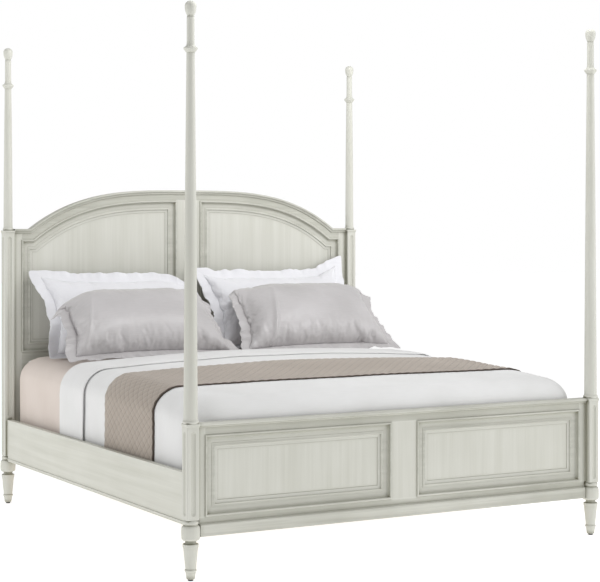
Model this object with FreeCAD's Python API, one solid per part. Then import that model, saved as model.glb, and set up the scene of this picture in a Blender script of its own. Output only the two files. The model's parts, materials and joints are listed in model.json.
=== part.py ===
import FreeCAD, Part
import math
import os

# Four poster bed, king size, in millimetres.
# +X is to the right for someone at the foot looking at the headboard, +Y runs from the foot
# to the head and +Z is up. The origin is on the floor under the middle of the four posts.

os.makedirs("parts", exist_ok=True)
V = FreeCAD.Vector

# ---- driving dimensions ----
post_x = 1002.5            # centre of a post from the middle, across the bed
post_y = 1058.0            # centre of a post from the middle, along the bed
total_height = 2290.0
mattress_size = (1926.0, 2030.0, 315.0)
foot_block_top = 604.0     # top of a foot post's square block, under its cap
head_block_top = 1356.0    # the same on a head post
headboard_crown = 1583.0   # top of the headboard's arch
rail_bottom = 215.0
rail_top = 422.0

# posts
block_size = 52.0
block_bottom = 240.0
block_half = block_size / 2
block_ease = 3.0
flute_width = 22.0
flute_depth = 4.5
flute_margin = 26.0        # plain wood between a flute's end and the end of the block
cap_size = 60.0
cap_height = 16.0
cap_corner = 8.0
shaft_base_radius = 28.5
shaft_top_radius = 15.5
ring_middle = 2102.0
ring_radius = 27.5
shaft_top = 2226.0
finial_radius = 23.0
finial_tip = 5.0           # flat left by the lathe on top of a finial
spigot_radius = 6.0
spigot_length = 40.0
tenon_radius = 14.0
tenon_length = 70.0

# footboard
foot_face = -post_y        # front face of the footboard's frame
foot_back = foot_face + block_half
foot_bottom = 170.0
base_top = 221.0
foot_opening = (63.0, 940.0, 245.0, 572.0)
foot_frame_top = 600.0
foot_cap_top = 619.5

# headboard
head_face = post_y - 4.0
head_back = post_y + block_half
head_bottom = 300.0
arch_half = 888.0          # from the middle to where the arch meets the shoulder
arch_power = 3.3
shoulder_top = 1380.0
cap_band = 24.0            # height of the cap that runs along the top edge
opening_inset = 54.0       # from the top edge to the panel openings
head_opening = (67.0, 933.0, 756.0)

# panels and their mouldings
moulding_width = 62.0
panel_thickness = 9.0
panel_depth = 15.0         # from the frame's face to the panel's face

# rails and what carries the mattress
rail_thickness = 28.0
ledger_width = 25.0
ledger_height = 32.0
ledger_bottom = 230.0
slat_count = 5
slat_width = 90.0
slat_thickness = 19.0
slat_pitch = 440.0
leg_size = 44.0

rail_end = post_y - block_half
rail_inner = post_x - rail_thickness / 2
catch_half = 11.0
catch_thickness = 2.5
catch_bottom = 270.0
catch_top = 390.0
hook_heights = (300.0, 348.0)
screw_radius = 2.2

# bedding
mattress_corner = 130.0
mattress_edge = 110.0
mattress_centre_y = 5.0
foundation_height = 150.0
sheet_thickness = 2.5
coverlet_thickness = 8.0
fold_thickness = 6.0
fold_head = 400.0          # where the coverlet is turned back
fold_hem = 110.0           # how far towards the foot the turned part reaches
throw_thickness = 4.0
throw_head = -130.0
throw_foot = -650.0
pillow_size = (930.0, 480.0, 150.0)
pillow_x = 477.0
gap = 0.3                  # air between soft pieces that lie on each other

joint_gap = 0.4            # air between a cap on the boards and a cap on a post


def save(shape, node):
    if not shape.isValid():
        shape.fix(0.01, 0.01, 0.1)
    shape.exportStep("parts/" + node + ".step")
    print(node, len(shape.Solids), "solid", round(shape.Volume / 1000.0, 1), "cm3", shape.isValid())


def block(x0, x1, y0, y1, z0, z1):
    return Part.makeBox(x1 - x0, y1 - y0, z1 - z0, V(x0, y0, z0))


def upright_edges(shape):
    return [e for e in shape.Edges if abs(e.tangentAt(e.FirstParameter).z) > 0.999]


def level_edges(shape, z):
    return [e for e in shape.Edges
            if abs(e.BoundBox.ZMin - z) < 0.01 and abs(e.BoundBox.ZMax - z) < 0.01]


def turned(outline):
    """Spin an outline of (radius, height) points about Z. A point with four numbers is the end
    of an arc, and its last two are a point that the arc passes through."""
    first = outline[0]
    edges = []
    here = V(first[0], 0, first[1])
    start = here
    for point in outline[1:]:
        there = V(point[0], 0, point[1])
        if len(point) == 4:
            edges.append(Part.Arc(here, V(point[2], 0, point[3]), there).toShape())
        else:
            edges.append(Part.makeLine(here, there))
        here = there
    edges.append(Part.makeLine(here, start))
    face = Part.Face(Part.Wire(edges))
    return face.revolve(V(0, 0, 0), V(0, 0, 1), 360)


# ---- posts ----

corners = {
    "front_left": (-1, -1),
    "front_right": (1, -1),
    "rear_left": (-1, 1),
    "rear_right": (1, 1),
}


def turned_foot():
    """The turning below the block: taper, ring, tapered leg, collar, neck, drum and ring."""
    return turned([
        (0, 7), (16.5, 7), (21, 35),
        (21, 46, 24.5, 40.5),
        (21.5, 48), (30, 131),
        (32, 133), (32, 144.5), (30.5, 146),
        (24, 147.5), (22.5, 156, 22, 151),
        (24, 158), (30, 160),
        (37, 172, 35.5, 164.5),
        (37, 207, 38, 190),
        (31, 218, 35, 214),
        (28.5, 219.5), (28.5, 221.5),
        (28.5, 237.5, 32, 229.5),
        (26, 240), (24, 241.5), (0, 241.5),
    ])


def fluted_block(top, turns, rail_turn):
    """The square block of a post. A flute with round ends is cut in each side named by its turn
    about Z, and the one above the side rail starts over the rail."""
    shaft = block(-block_half, block_half, -block_half, block_half, block_bottom, top)
    shaft = shaft.makeChamfer(block_ease, upright_edges(shaft))
    cutter_radius = ((flute_width / 2) ** 2 + flute_depth ** 2) / (2 * flute_depth)
    reach = block_half + cutter_radius - flute_depth
    for turn in turns:
        low = rail_top if turn == rail_turn else block_bottom
        low = low + flute_margin
        high = top - flute_margin
        centre = V(0, -reach, 0)
        cutter = Part.makeCylinder(cutter_radius, high - low, centre + V(0, 0, low))
        for z in (low, high):
            cutter = cutter.fuse(Part.makeSphere(cutter_radius, centre + V(0, 0, z)))
        cutter.rotate(V(0, 0, 0), V(0, 0, 1), turn)
        shaft = shaft.cut(cutter)
    return shaft


def block_cap(bottom):
    """Square cap with a cove under a thin lip."""
    neck = block_half
    lip = cap_size / 2
    lower = block(-neck, neck, -neck, neck, bottom, bottom + 3)
    upper = block(-lip, lip, -lip, lip, bottom + cap_height - 7, bottom + cap_height)
    upper = upper.makeFillet(cap_corner, upright_edges(upper))
    upper = upper.makeFillet(2.0, level_edges(upper, bottom + cap_height))
    squares = []
    steps = ((neck, bottom + 3), (neck + 1.2, bottom + 6), (lip - 1.5, bottom + cap_height - 7))
    for half, z in steps:
        square = Part.makePolygon([V(-half, -half, z), V(half, -half, z), V(half, half, z),
                                   V(-half, half, z), V(-half, -half, z)])
        squares.append(square)
    cove = Part.makeLoft(squares, True, True)
    round_trim = Part.makeBox(cap_size, cap_size, cap_height + 2, V(-lip, -lip, bottom - 1))
    round_trim = round_trim.makeFillet(cap_corner, upright_edges(round_trim))
    return lower.fuse([cove.common(round_trim), upper])


def lower_post(kind, side):
    """Turned foot, fluted block and cap in one piece, with a socket for the upper post, a hole
    for the glide's stem and a mortise for the rail catch."""
    top = foot_block_top if kind == "front" else head_block_top
    outer_turn = -90 if side < 0 else 90
    rail_turn = 0 if kind == "rear" else 180
    turns = [0, outer_turn]
    post = turned_foot().fuse([fluted_block(top, turns, rail_turn), block_cap(top)]).removeSplitter()
    socket_floor = top + cap_height - tenon_length
    post = post.cut(Part.makeCylinder(tenon_radius + 0.1, tenon_length + 1, V(0, 0, socket_floor)))
    post = post.cut(Part.makeCylinder(5.1, 40, V(0, 0, 6)))
    inward = 1 if kind == "front" else -1
    y0, y1 = sorted((inward * block_half, inward * (block_half - catch_thickness)))
    recess = block(-catch_half, catch_half, y0, y1, catch_bottom, catch_top)
    y0, y1 = sorted((inward * block_half, inward * (block_half - 15)))
    pocket = block(-4, 4, y0, y1, catch_bottom + 12, catch_top - 8)
    return post.cut(recess).cut(pocket)


def upper_post(bottom):
    """Round shaft with a base ring, a long taper and a ring below its plain end. Its tenon stands
    in the lower post, and its top is bored for the finial's spigot."""
    ring_low = ring_middle - 17
    ring_high = ring_middle + 18
    slope = (shaft_base_radius - shaft_top_radius - 1) / (ring_low - 620.0)
    base = shaft_top_radius + 1 + slope * (ring_low - bottom)
    swell = 1.0
    middle = (bottom + ring_low) / 2
    middle_radius = (base + shaft_top_radius + 1) / 2 + swell
    shaft = turned([
        (0, bottom - tenon_length + 0.5), (tenon_radius, bottom - tenon_length + 0.5),
        (tenon_radius, bottom), (base + 2, bottom),
        (base + 2, bottom + 12, base + 4.5, bottom + 6),
        (base + 0.5, bottom + 14), (base, bottom + 24, base, bottom + 18),
        (shaft_top_radius + 1, ring_low, middle_radius, middle),
        (shaft_top_radius + 4, ring_low + 2),
        (ring_radius, ring_middle - 4, ring_radius - 3, ring_low + 9),
        (ring_radius, ring_middle + 3, ring_radius + 1, ring_middle - 0.5),
        (shaft_top_radius + 0.5, ring_high, shaft_top_radius + 3.5, ring_middle + 9),
        (shaft_top_radius, ring_high + 8),
        (shaft_top_radius, shaft_top - 3), (shaft_top_radius - 1.5, shaft_top), (0, shaft_top),
    ])
    bore = Part.makeCylinder(spigot_radius + 0.1, spigot_length + 2, V(0, 0, shaft_top - spigot_length - 1))
    return shaft.cut(bore)


def finial():
    """Egg shaped knob on a short neck, with a spigot that stands in the shaft."""
    base = shaft_top + gap
    return turned([
        (0, base - spigot_length), (spigot_radius, base - spigot_length), (spigot_radius, base),
        (shaft_top_radius - 0.5, base), (shaft_top_radius - 0.5, base + 2),
        (13, base + 4),
        (finial_radius, base + 38, 18.5, base + 15),
        (finial_tip, total_height, 19.0, base + 55),
        (0, total_height),
    ])


def glide():
    """Round foot with a stem that runs in the post, for levelling."""
    return turned([
        (0, 0), (9.5, 0), (11, 1.5), (11, 6.7), (5, 6.7), (5, 42), (0, 42),
    ])


# ---- mouldings that follow an outline ----

def along_outline(section, outline_at, ends):
    """A solid whose section is a ring of (inset, y) points. outline_at gives the list of edges
    at an inset and a depth, and ends says whether that outline is open."""
    rows = [outline_at(inset, y) for inset, y in section]
    faces = []
    for row, following in zip(rows, rows[1:] + rows[:1]):
        for edge, other in zip(row, following):
            faces.append(Part.makeRuledSurface(edge, other))
    if ends:
        firsts = [row[0].valueAt(row[0].FirstParameter) for row in rows]
        lasts = [row[-1].valueAt(row[-1].LastParameter) for row in rows]
        for loop in (firsts, lasts):
            faces.append(Part.Face(Part.makePolygon(loop + loop[:1])))
    shell = Part.makeShell(faces)
    shell.sewShape()
    solid = Part.makeSolid(shell)
    if solid.Volume < 0:
        solid.reverse()
    return solid


def arc_points(centre, radius, start, end, count):
    """Points on a quarter round or cove of a section, angles in degrees."""
    points = []
    for step in range(count + 1):
        angle = math.radians(start + (end - start) * step / count)
        points.append((centre[0] + radius * math.cos(angle), centre[1] + radius * math.sin(angle)))
    return points


def moulding_section(face):
    """Bead on the outer edge, a cove down to a flat, and an ogee down to the panel. The ring
    goes round the front and back along the panel's face."""
    panel = face + panel_depth
    bead = arc_points((5.0, face - 0.5), 5.0, 180, 360, 6)
    first = arc_points((22.0, face - 1.0), 11.0, 180, 90, 4)
    flat = [(36.0, face + 10.0), (36.0, face + 8.5), (40.0, face + 8.5)]
    last = arc_points((moulding_width - 8.0, face + 6.5), 6.5, 180, 90, 3)
    edge = [(moulding_width, face + 13.0), (moulding_width, panel)]
    return bead + first + flat + last + edge + [(0.0, panel)]


def rectangle_outline(x0, x1, z0, z1):
    def at(inset, y):
        points = [V(x0 + inset, y, z0 + inset), V(x1 - inset, y, z0 + inset),
                  V(x1 - inset, y, z1 - inset), V(x0 + inset, y, z1 - inset)]
        return [Part.makeLine(a, b) for a, b in zip(points, points[1:] + points[:1])]
    return at


def arch_point(t, inset):
    """A point of the headboard's top edge at t from the middle, moved inwards by inset."""
    rise = headboard_crown - shoulder_top
    z = headboard_crown - rise * (t / arch_half) ** arch_power
    slope = rise * arch_power / arch_half * (t / arch_half) ** (arch_power - 1)
    length = math.hypot(1, slope)
    return t - inset * slope / length, z - inset / length


def solve(test, low, high):
    """Where test turns from true to false between low and high."""
    for _ in range(60):
        middle = (low + high) / 2
        if test(middle):
            low = middle
        else:
            high = middle
    return low


def arch_edge(inset, y, t0, t1, side):
    """The arch between two places, as one smooth edge on the left (-1) or right (1)."""
    count = 10
    points = []
    for step in range(count + 1):
        x, z = arch_point(t0 + (t1 - t0) * step / count, inset)
        points.append(V(side * x, y, z))
    curve = Part.BSplineCurve()
    curve.interpolate(points)
    return curve.toShape()


def shoulder_place(inset):
    """The t at which the arch, moved inwards, meets the shoulder moved down as far."""
    level = shoulder_top - inset
    return solve(lambda t: arch_point(t, inset)[1] > level, 0.0, arch_half + 150.0)


def head_panel_outline(side):
    """The outline of a headboard panel: up the centre stile, over the arch, along the shoulder,
    down the side stile and back along the bottom."""
    inner, outer, bottom = head_opening

    def at(inset, y):
        total = opening_inset + inset
        start = solve(lambda t: arch_point(t, total)[0] < inner + inset, 0.0, arch_half)
        end = shoulder_place(total)
        arch = arch_edge(total, y, start, end, side)
        level = shoulder_top - total
        top_inner = arch.valueAt(arch.FirstParameter)
        corner = arch.valueAt(arch.LastParameter)
        far = V(side * (outer - inset), y, corner.z)
        low_far = V(side * (outer - inset), y, bottom + inset)
        low_near = V(top_inner.x, y, bottom + inset)
        lines = [Part.makeLine(corner, far), Part.makeLine(far, low_far),
                 Part.makeLine(low_far, low_near), Part.makeLine(low_near, top_inner)]
        return [arch] + lines
    return at


def head_top_outline(end_x):
    """The headboard's top edge from one end to the other: shoulder, arch, shoulder."""
    def at(inset, y):
        end = shoulder_place(inset)
        count = 20
        points = []
        for step in range(-count, count + 1):
            x, z = arch_point(end * abs(step) / count, inset)
            points.append(V(math.copysign(x, step), y, z))
        curve = Part.BSplineCurve()
        curve.interpolate(points)
        left, right = points[0], points[-1]
        start = V(-end_x, y, left.z)
        finish = V(end_x, y, right.z)
        return [Part.makeLine(start, left), curve.toShape(), Part.makeLine(right, finish)]
    return at


def extruded(edges, y0, y1):
    face = Part.Face(Part.Wire(Part.__sortEdges__(edges)))
    face.translate(V(0, y0 - face.BoundBox.YMin, 0))
    return face.extrude(V(0, y1 - y0, 0))


# ---- footboard ----

def cap_section(face, back, drop):
    """A cap's section as (drop below the top, y): a rounded nose over a cove."""
    nose_front = face - 9.0
    section = []
    for step in range(7):
        angle = math.pi * step / 6
        section.append((6.0 - 6.0 * math.cos(angle), nose_front - 6.0 * math.sin(angle)))
    for step in range(1, 5):
        angle = math.pi / 2 * step / 4
        section.append((12.0 + (drop - 12.0) * math.sin(angle), face - 9.0 * math.cos(angle)))
    return section + [(drop, back), (0.0, back)]


def footboard():
    x0, x1, z0, z1 = foot_opening
    y0, y1 = foot_face, foot_back
    end = post_x - block_half
    save(block(-x1, x1, y0, y1, z1, foot_frame_top), "footboard_top_rail")
    low_end = post_x - 38.5
    save(block(-low_end, low_end, y0, y1, foot_bottom + 2, z0), "footboard_bottom_rail")
    save(block(-x0, x0, y0, y1, z0, z1), "footboard_centre_stile")
    for side, name in ((-1, "left"), (1, "right")):
        near, far = sorted((side * x1, side * end))
        save(block(near, far, y0, y1, z0, foot_frame_top), "footboard_" + name + "_stile")
        near, far = sorted((side * x0, side * x1))
        outline = rectangle_outline(near, far, z0, z1)
        save(along_outline(moulding_section(y0), outline, False), "footboard_" + name + "_moulding")
        panel_face = y0 + panel_depth
        save(block(near, far, panel_face, panel_face + panel_thickness, z0, z1),
             "footboard_" + name + "_panel")
    section = cap_section(y0, y1 + 6.0, foot_cap_top - foot_frame_top)
    cap_end = post_x - cap_size / 2 - joint_gap
    points = [V(-cap_end, y, foot_cap_top - drop) for drop, y in section]
    cap = Part.Face(Part.makePolygon(points + points[:1])).extrude(V(2 * cap_end, 0, 0))
    save(cap, "footboard_cap")
    base_front = y0 - 12.0
    base = [V(0, y0, foot_bottom), V(0, base_front, foot_bottom), V(0, base_front, base_top - 9)]
    for step in range(1, 5):
        angle = math.pi / 2 * step / 4
        base.append(V(0, base_front + 8 * (1 - math.cos(angle)), base_top - 9 + 7 * math.sin(angle)))
    base += [V(0, y0 - 2, base_top), V(0, y0, base_top)]
    strip = Part.Face(Part.makePolygon(base + base[:1])).extrude(V(2 * low_end, 0, 0))
    strip.translate(V(-low_end, 0, 0))
    save(strip, "footboard_base_moulding")


# ---- headboard ----

def headboard():
    inner, outer, bottom = head_opening
    y0, y1 = head_face, head_back
    end = post_x - block_half
    frame_top = shoulder_top - cap_band
    save(block(-outer, outer, y0, y1, head_bottom, bottom), "headboard_bottom_rail")
    inner_top = head_panel_outline(1)(0.0, y0)[0]
    stile_top = inner_top.valueAt(inner_top.FirstParameter).z
    save(block(-inner, inner, y0, y1, bottom, stile_top), "headboard_centre_stile")
    for side, name in ((-1, "left"), (1, "right")):
        near, far = sorted((side * outer, side * end))
        save(block(near, far, y0, y1, head_bottom, frame_top), "headboard_" + name + "_stile")
        outline = head_panel_outline(side)
        save(along_outline(moulding_section(y0), outline, False), "headboard_" + name + "_moulding")
        panel_face = y0 + panel_depth
        save(extruded(outline(0.0, panel_face), panel_face, panel_face + panel_thickness),
             "headboard_" + name + "_panel")
    top_edges = head_top_outline(outer)(cap_band, y0)
    start = top_edges[0].valueAt(top_edges[0].FirstParameter)
    finish = top_edges[-1].valueAt(top_edges[-1].LastParameter)
    lower = []
    ends = []
    for side in (-1, 1):
        arch, shoulder = head_panel_outline(side)(0.0, y0)[:2]
        lower += [arch, shoulder]
        ends.append((arch.valueAt(arch.FirstParameter), shoulder.valueAt(shoulder.LastParameter)))
    left, right = ends
    joins = [Part.makeLine(start, left[1]), Part.makeLine(finish, right[1]), Part.makeLine(left[0], right[0])]
    save(extruded(top_edges + lower + joins, y0, y1), "headboard_top_rail")
    cap_end = post_x - cap_size / 2 - joint_gap
    section = cap_section(y0, y1, cap_band)
    save(along_outline(section, head_top_outline(cap_end), True), "headboard_cap")


# ---- rails, slats and fittings ----

def countersunk_screw(start, direction, length):
    """A wood screw with a flat head at start, driven along direction."""
    stem = Part.makeCylinder(screw_radius, length, start, direction)
    head = Part.makeCone(4.2, screw_radius, 3.2, start, direction)
    return stem.fuse(head)


def plate_screws(inward, x, y):
    """Two screws that hold a plate on a post or on a rail's end, driven inward along Y."""
    screws = []
    for z in (catch_bottom + 6, catch_top - 5):
        screws.append(countersunk_screw(V(x, y, z), V(0, inward, 0), 24))
    return screws


def ledger_screws(side):
    """Screws through a ledger into its rail."""
    screws = []
    x = side * (rail_inner - ledger_width)
    for step in range(6):
        y = -900 + 360 * step
        screws.append(countersunk_screw(V(x, y, ledger_bottom + 16), V(side, 0, 0), 42))
    return screws


def hook_plate(inward):
    """Plate in the rail's end with two hooks that drop into the catch. inward points from the
    rail's end into the rail."""
    y0, y1 = sorted((0.0, inward * 3))
    plate = block(-catch_half, catch_half, y0, y1, catch_bottom, catch_top)
    for z in hook_heights:
        y0, y1 = sorted((0.0, -inward * 11))
        tongue = block(-1.5, 1.5, y0, y1, z + 2, z + 14)
        y0, y1 = sorted((-inward * 5, -inward * 11))
        drop = block(-1.5, 1.5, y0, y1, z - 8, z + 14)
        plate = plate.fuse([tongue, drop])
    return plate


def catch_plate(inward):
    """Slotted plate let into the post. inward points from the post's face into the post."""
    y0, y1 = sorted((0.0, inward * catch_thickness))
    plate = block(-catch_half, catch_half, y0, y1, catch_bottom, catch_top)
    for z in hook_heights:
        plate = plate.cut(block(-2, 2, y0 - 1, y1 + 1, z - 9, z + 15))
    return plate


def side_rails():
    """Rails with their ledgers, hooks and catches. Hands back the screws that enter each post."""
    hooks, catches, screws = [], [], []
    post_screws = {}
    for side, name in ((-1, "left"), (1, "right")):
        x0, x1 = sorted((side * rail_inner, side * (rail_inner + rail_thickness)))
        rail = block(x0, x1, -rail_end + joint_gap, rail_end - joint_gap, rail_bottom, rail_top)
        outer_face = side * (rail_inner + rail_thickness)
        bead_start = V(outer_face - side, -rail_end + joint_gap, rail_bottom + 12)
        bead = Part.makeCylinder(4.0, 2 * (rail_end - joint_gap), bead_start, V(0, 1, 0))
        rail = rail.fuse(bead).removeSplitter()
        for end in (-1, 1):
            under_block = V(side * post_x, end * post_y, rail_bottom - 1)
            rail = rail.cut(Part.makeCylinder(38.5, block_bottom - rail_bottom + 3, under_block))
        own_screws = ledger_screws(side)
        for end in (-1, 1):
            y = end * (rail_end - joint_gap)
            hook = hook_plate(-end)
            hook.translate(V(side * post_x, y, 0))
            catch = catch_plate(end)
            catch.translate(V(side * post_x, end * rail_end, 0))
            rail = rail.cut(block(side * post_x - catch_half - 0.1, side * post_x + catch_half + 0.1,
                                  min(y, y - end * 3.1), max(y, y - end * 3.1),
                                  catch_bottom - 0.1, catch_top + 0.1))
            hook_screws = plate_screws(-end, side * post_x, y)
            catch_screws = plate_screws(end, side * post_x, end * rail_end)
            for screw in hook_screws:
                hook = hook.cut(screw)
            for screw in catch_screws:
                catch = catch.cut(screw)
            own_screws += hook_screws
            screws += catch_screws
            post_screws[(side, end)] = catch_screws
            hooks.append(hook)
            catches.append(catch)
        for screw in own_screws:
            rail = rail.cut(screw)
        save(rail, "side_rail_" + name)
        x0, x1 = sorted((side * rail_inner, side * (rail_inner - ledger_width)))
        ledger = block(x0, x1, -980, 980, ledger_bottom, ledger_bottom + ledger_height)
        for screw in own_screws:
            ledger = ledger.cut(screw)
        save(ledger, "ledger_" + name)
        screws += own_screws
    save(Part.makeCompound(hooks), "rail_hook_plates")
    save(Part.makeCompound(catches), "post_catch_plates")
    save(Part.makeCompound(screws), "wood_screws")
    return post_screws


def slats_and_legs():
    top = ledger_bottom + ledger_height + slat_thickness
    end = rail_inner - 2.5
    for index in range(slat_count):
        y = (index - (slat_count - 1) / 2) * slat_pitch
        slat = block(-end, end, y - slat_width / 2, y + slat_width / 2, top - slat_thickness, top)
        slat = slat.makeFillet(2.0, slat.Edges)
        save(slat, "slat_" + str(index + 1))
    for index, y in enumerate((0.0, slat_pitch)):
        half = leg_size / 2
        leg = block(-half, half, y - half, y + half, 0, top - slat_thickness)
        leg = leg.makeChamfer(4.0, upright_edges(leg) + level_edges(leg, 0))
        save(leg, "centre_leg_" + str(index + 1))
    return top


# ---- soft pieces ----

def soft_block(width, length, height, centre_y, bottom, corner, edge):
    half_l = length / 2
    shape = block(-width / 2, width / 2, centre_y - half_l, centre_y + half_l, bottom, bottom + height)
    shape = shape.makeFillet(corner, upright_edges(shape))
    return shape.makeFillet(edge, level_edges(shape, bottom) + level_edges(shape, bottom + height))


def cover(under, top, lift, thickness, y0, y1, low):
    """A cloth over the mattress from y0 to y1, hanging down at the sides as far as low. What it
    lies on goes from under to top and is lift larger than the mattress."""
    form = grown(under, top, lift)
    outer = grown(under, top, lift + thickness)
    span = outer.BoundBox
    window = block(span.XMin, span.XMax, y0, y1, low, span.ZMax)
    return outer.common(window).cut(form)


def grown(bottom, top, extra):
    """The mattress with everything on it up to extra thick, as the form the next cloth lies on."""
    width, length, _ = mattress_size
    return soft_block(width + 2 * extra, length + 2 * extra, top + extra - bottom, mattress_centre_y, bottom,
                      mattress_corner + extra, mattress_edge + extra)


def pillow(width, height, thickness):
    """A plain crowned pad in its own frame: width along X, height along Z, thickness along Y."""
    rings = []
    levels = (-1.0, -0.8, -0.45, -0.12, 0.12, 0.45, 0.8, 1.0)
    for level in levels:
        shrink = 0.5 * (1 - math.sqrt(1 - (0.97 * level) ** 2))
        half_w = width / 2 - shrink * height * 0.55
        half_h = height / 2 - shrink * height * 0.55
        y = level * thickness / 2
        corner = half_h * 0.35
        loop = Part.makePolygon([V(-half_w, y, -half_h), V(half_w, y, -half_h), V(half_w, y, half_h),
                                 V(-half_w, y, half_h), V(-half_w, y, -half_h)])
        face = Part.Face(loop)
        solid = face.extrude(V(0, 1, 0))
        solid = solid.makeFillet(corner, [e for e in solid.Edges
                                          if abs(e.tangentAt(e.FirstParameter).y) > 0.999])
        front = [f for f in solid.Faces if f.BoundBox.YMax < y + 0.01][0]
        rings.append(front.OuterWire)
    return Part.makeLoft(rings, True, True)


def placed_pillow(lean, bottom_y, bottom_z, centre_x):
    """Lean a pillow back by an angle from upright, its lower edge at bottom_y, bottom_z."""
    width, height, thickness = pillow_size
    shape = pillow(width, height, thickness)
    shape.translate(V(0, 0, height / 2))
    shape.rotate(V(0, 0, 0), V(1, 0, 0), -lean)
    shape.translate(V(centre_x, bottom_y, bottom_z))
    return shape


def bedding(slat_top):
    width, length, height = mattress_size
    foundation = soft_block(width - 8, length - 8, foundation_height, mattress_centre_y, slat_top,
                            mattress_corner, 8)
    save(foundation, "foundation")
    bottom = slat_top + foundation_height
    top = bottom + height
    save(grown(bottom, top, 0.0), "mattress")
    low = rail_top - 40.0
    under = low - mattress_edge - 50.0
    head_end = mattress_centre_y + length / 2
    lift = gap
    foot_end = -post_y
    save(cover(under, top, lift, sheet_thickness, foot_end, head_end, low), "fitted_sheet")
    lift += sheet_thickness + gap
    cloth = cover(under, top, lift, coverlet_thickness, foot_end, fold_head, low)
    lift += coverlet_thickness
    fold = cover(under, top, lift, fold_thickness, fold_hem, fold_head, low)
    save(cloth.fuse(fold).removeSplitter(), "coverlet")
    throw = cover(under, top, lift + gap, throw_thickness, throw_foot, throw_head, low)
    save(throw, "throw_blanket")
    rest = top + 4.0
    clear = block(-post_x, post_x, -post_y, head_face - 17.0, rest, total_height)
    for side, name in ((-1, "left"), (1, "right")):
        back = placed_pillow(33.0, 766.0, rest + 12.0, side * pillow_x)
        save(back.common(clear), "back_pillow_" + name)
        front = placed_pillow(46.0, 480.0, rest + 20.0, side * pillow_x)
        save(front.common(clear), "front_pillow_" + name)


# ---- build ----

post_screws = side_rails()
for corner, (side, end) in corners.items():
    place = V(side * post_x, end * post_y, 0)
    kind = "front" if end < 0 else "rear"
    post = lower_post(kind, side)
    post.translate(place)
    for screw in post_screws[(side, end)]:
        post = post.cut(screw)
    save(post, "lower_post_" + corner)
    top = foot_block_top if kind == "front" else head_block_top
    shaft = upper_post(top + cap_height)
    shaft.translate(place)
    save(shaft, "upper_post_" + corner)
    knob = finial()
    knob.translate(place)
    save(knob, "finial_" + corner)
    foot = glide()
    foot.translate(place)
    save(foot, "levelling_glide_" + corner)
footboard()
headboard()
slat_top = slats_and_legs()
bedding(slat_top)
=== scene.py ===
import bpy
import bmesh
import json
import math
import random
from mathutils import Matrix, Vector, noise


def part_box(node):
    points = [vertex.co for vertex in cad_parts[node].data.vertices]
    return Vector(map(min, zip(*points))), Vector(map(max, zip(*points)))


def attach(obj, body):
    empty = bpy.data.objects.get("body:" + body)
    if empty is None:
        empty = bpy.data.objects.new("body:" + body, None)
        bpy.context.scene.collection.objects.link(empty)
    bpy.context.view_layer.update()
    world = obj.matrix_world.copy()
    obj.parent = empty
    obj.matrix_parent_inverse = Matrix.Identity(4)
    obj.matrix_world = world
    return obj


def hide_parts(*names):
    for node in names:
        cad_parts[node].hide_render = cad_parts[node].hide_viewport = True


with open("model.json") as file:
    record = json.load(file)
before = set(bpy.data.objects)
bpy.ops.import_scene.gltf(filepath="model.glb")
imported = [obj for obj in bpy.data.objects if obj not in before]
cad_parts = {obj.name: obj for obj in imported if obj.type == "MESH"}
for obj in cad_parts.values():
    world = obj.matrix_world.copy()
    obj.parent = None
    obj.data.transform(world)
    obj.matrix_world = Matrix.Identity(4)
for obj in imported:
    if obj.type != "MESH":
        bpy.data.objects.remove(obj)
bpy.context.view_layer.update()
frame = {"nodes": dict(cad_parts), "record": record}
print("frame loaded:", len(frame["nodes"]), "CAD nodes")


# ---------- camera, floor and lights ----------

camera = {
    "place": (-3.9088, -7.0983, 1.4191),
    "yaw": 29.388,      # degrees to the right of straight at the headboard
    "lens": 101.67,
    "shiftY": -0.1164,
}
bpy.ops.object.camera_add(location=camera["place"],
                          rotation=(math.radians(90), 0, -math.radians(camera["yaw"])))
cameraObject = bpy.context.object
cameraObject.data.lens = camera["lens"]
cameraObject.data.sensor_width = 36
cameraObject.data.shift_y = camera["shiftY"]
cameraObject.data.clip_end = 100
bpy.context.scene.camera = cameraObject
bpy.context.scene.view_settings.view_transform = "Standard"

studio = {
    "worldStrength": 0.43,
    "floorGlow": 0.66,      # a floor lit from below, so that it stays white far off
    "softboxes": [
        # place, aim, width, height, power in watts
        ((-6.0, 2.6, 2.8), (0, 0, 0.9), 3.5, 3.0, 88),
        ((5.6, -4.6, 2.8), (0, 0, 0.9), 3.5, 3.0, 135),
        ((0.4, -0.9, 3.6), (0, 1.1, 0.9), 2.6, 1.6, 50),
    ],
}


def srgb(hexColour):
    # sRGB hex value to linear numbers
    channels = []
    for i in (0, 2, 4):
        c = int(hexColour[i:i + 2], 16) / 255
        channels.append(c / 12.92 if c <= 0.04045 else ((c + 0.055) / 1.055) ** 2.4)
    return (*channels, 1.0)


def addNode(owner, kind, values=None, links=None, stops=(), **settings):
    # a node with its settings and input values; links maps an input to (node, output),
    # and stops are a colour ramp's places and hex colours
    node = owner.node_tree.nodes.new(kind)
    for name, value in settings.items():
        setattr(node, name, value)
    for name, value in (values or {}).items():
        node.inputs[name].default_value = value
    for name, (source, output) in (links or {}).items():
        owner.node_tree.links.new(source.outputs[output], node.inputs[name])
    if stops:
        elements = node.color_ramp.elements
        while len(elements) < len(stops):
            elements.new(0.5)
        for element, (position, colour) in zip(elements, stops):
            element.position = position
            element.color = srgb(colour)
    return node


def emptyNodes(owner):
    # a new material or world with no nodes in it yet
    owner.use_nodes = True
    owner.node_tree.nodes.clear()
    return owner


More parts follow.
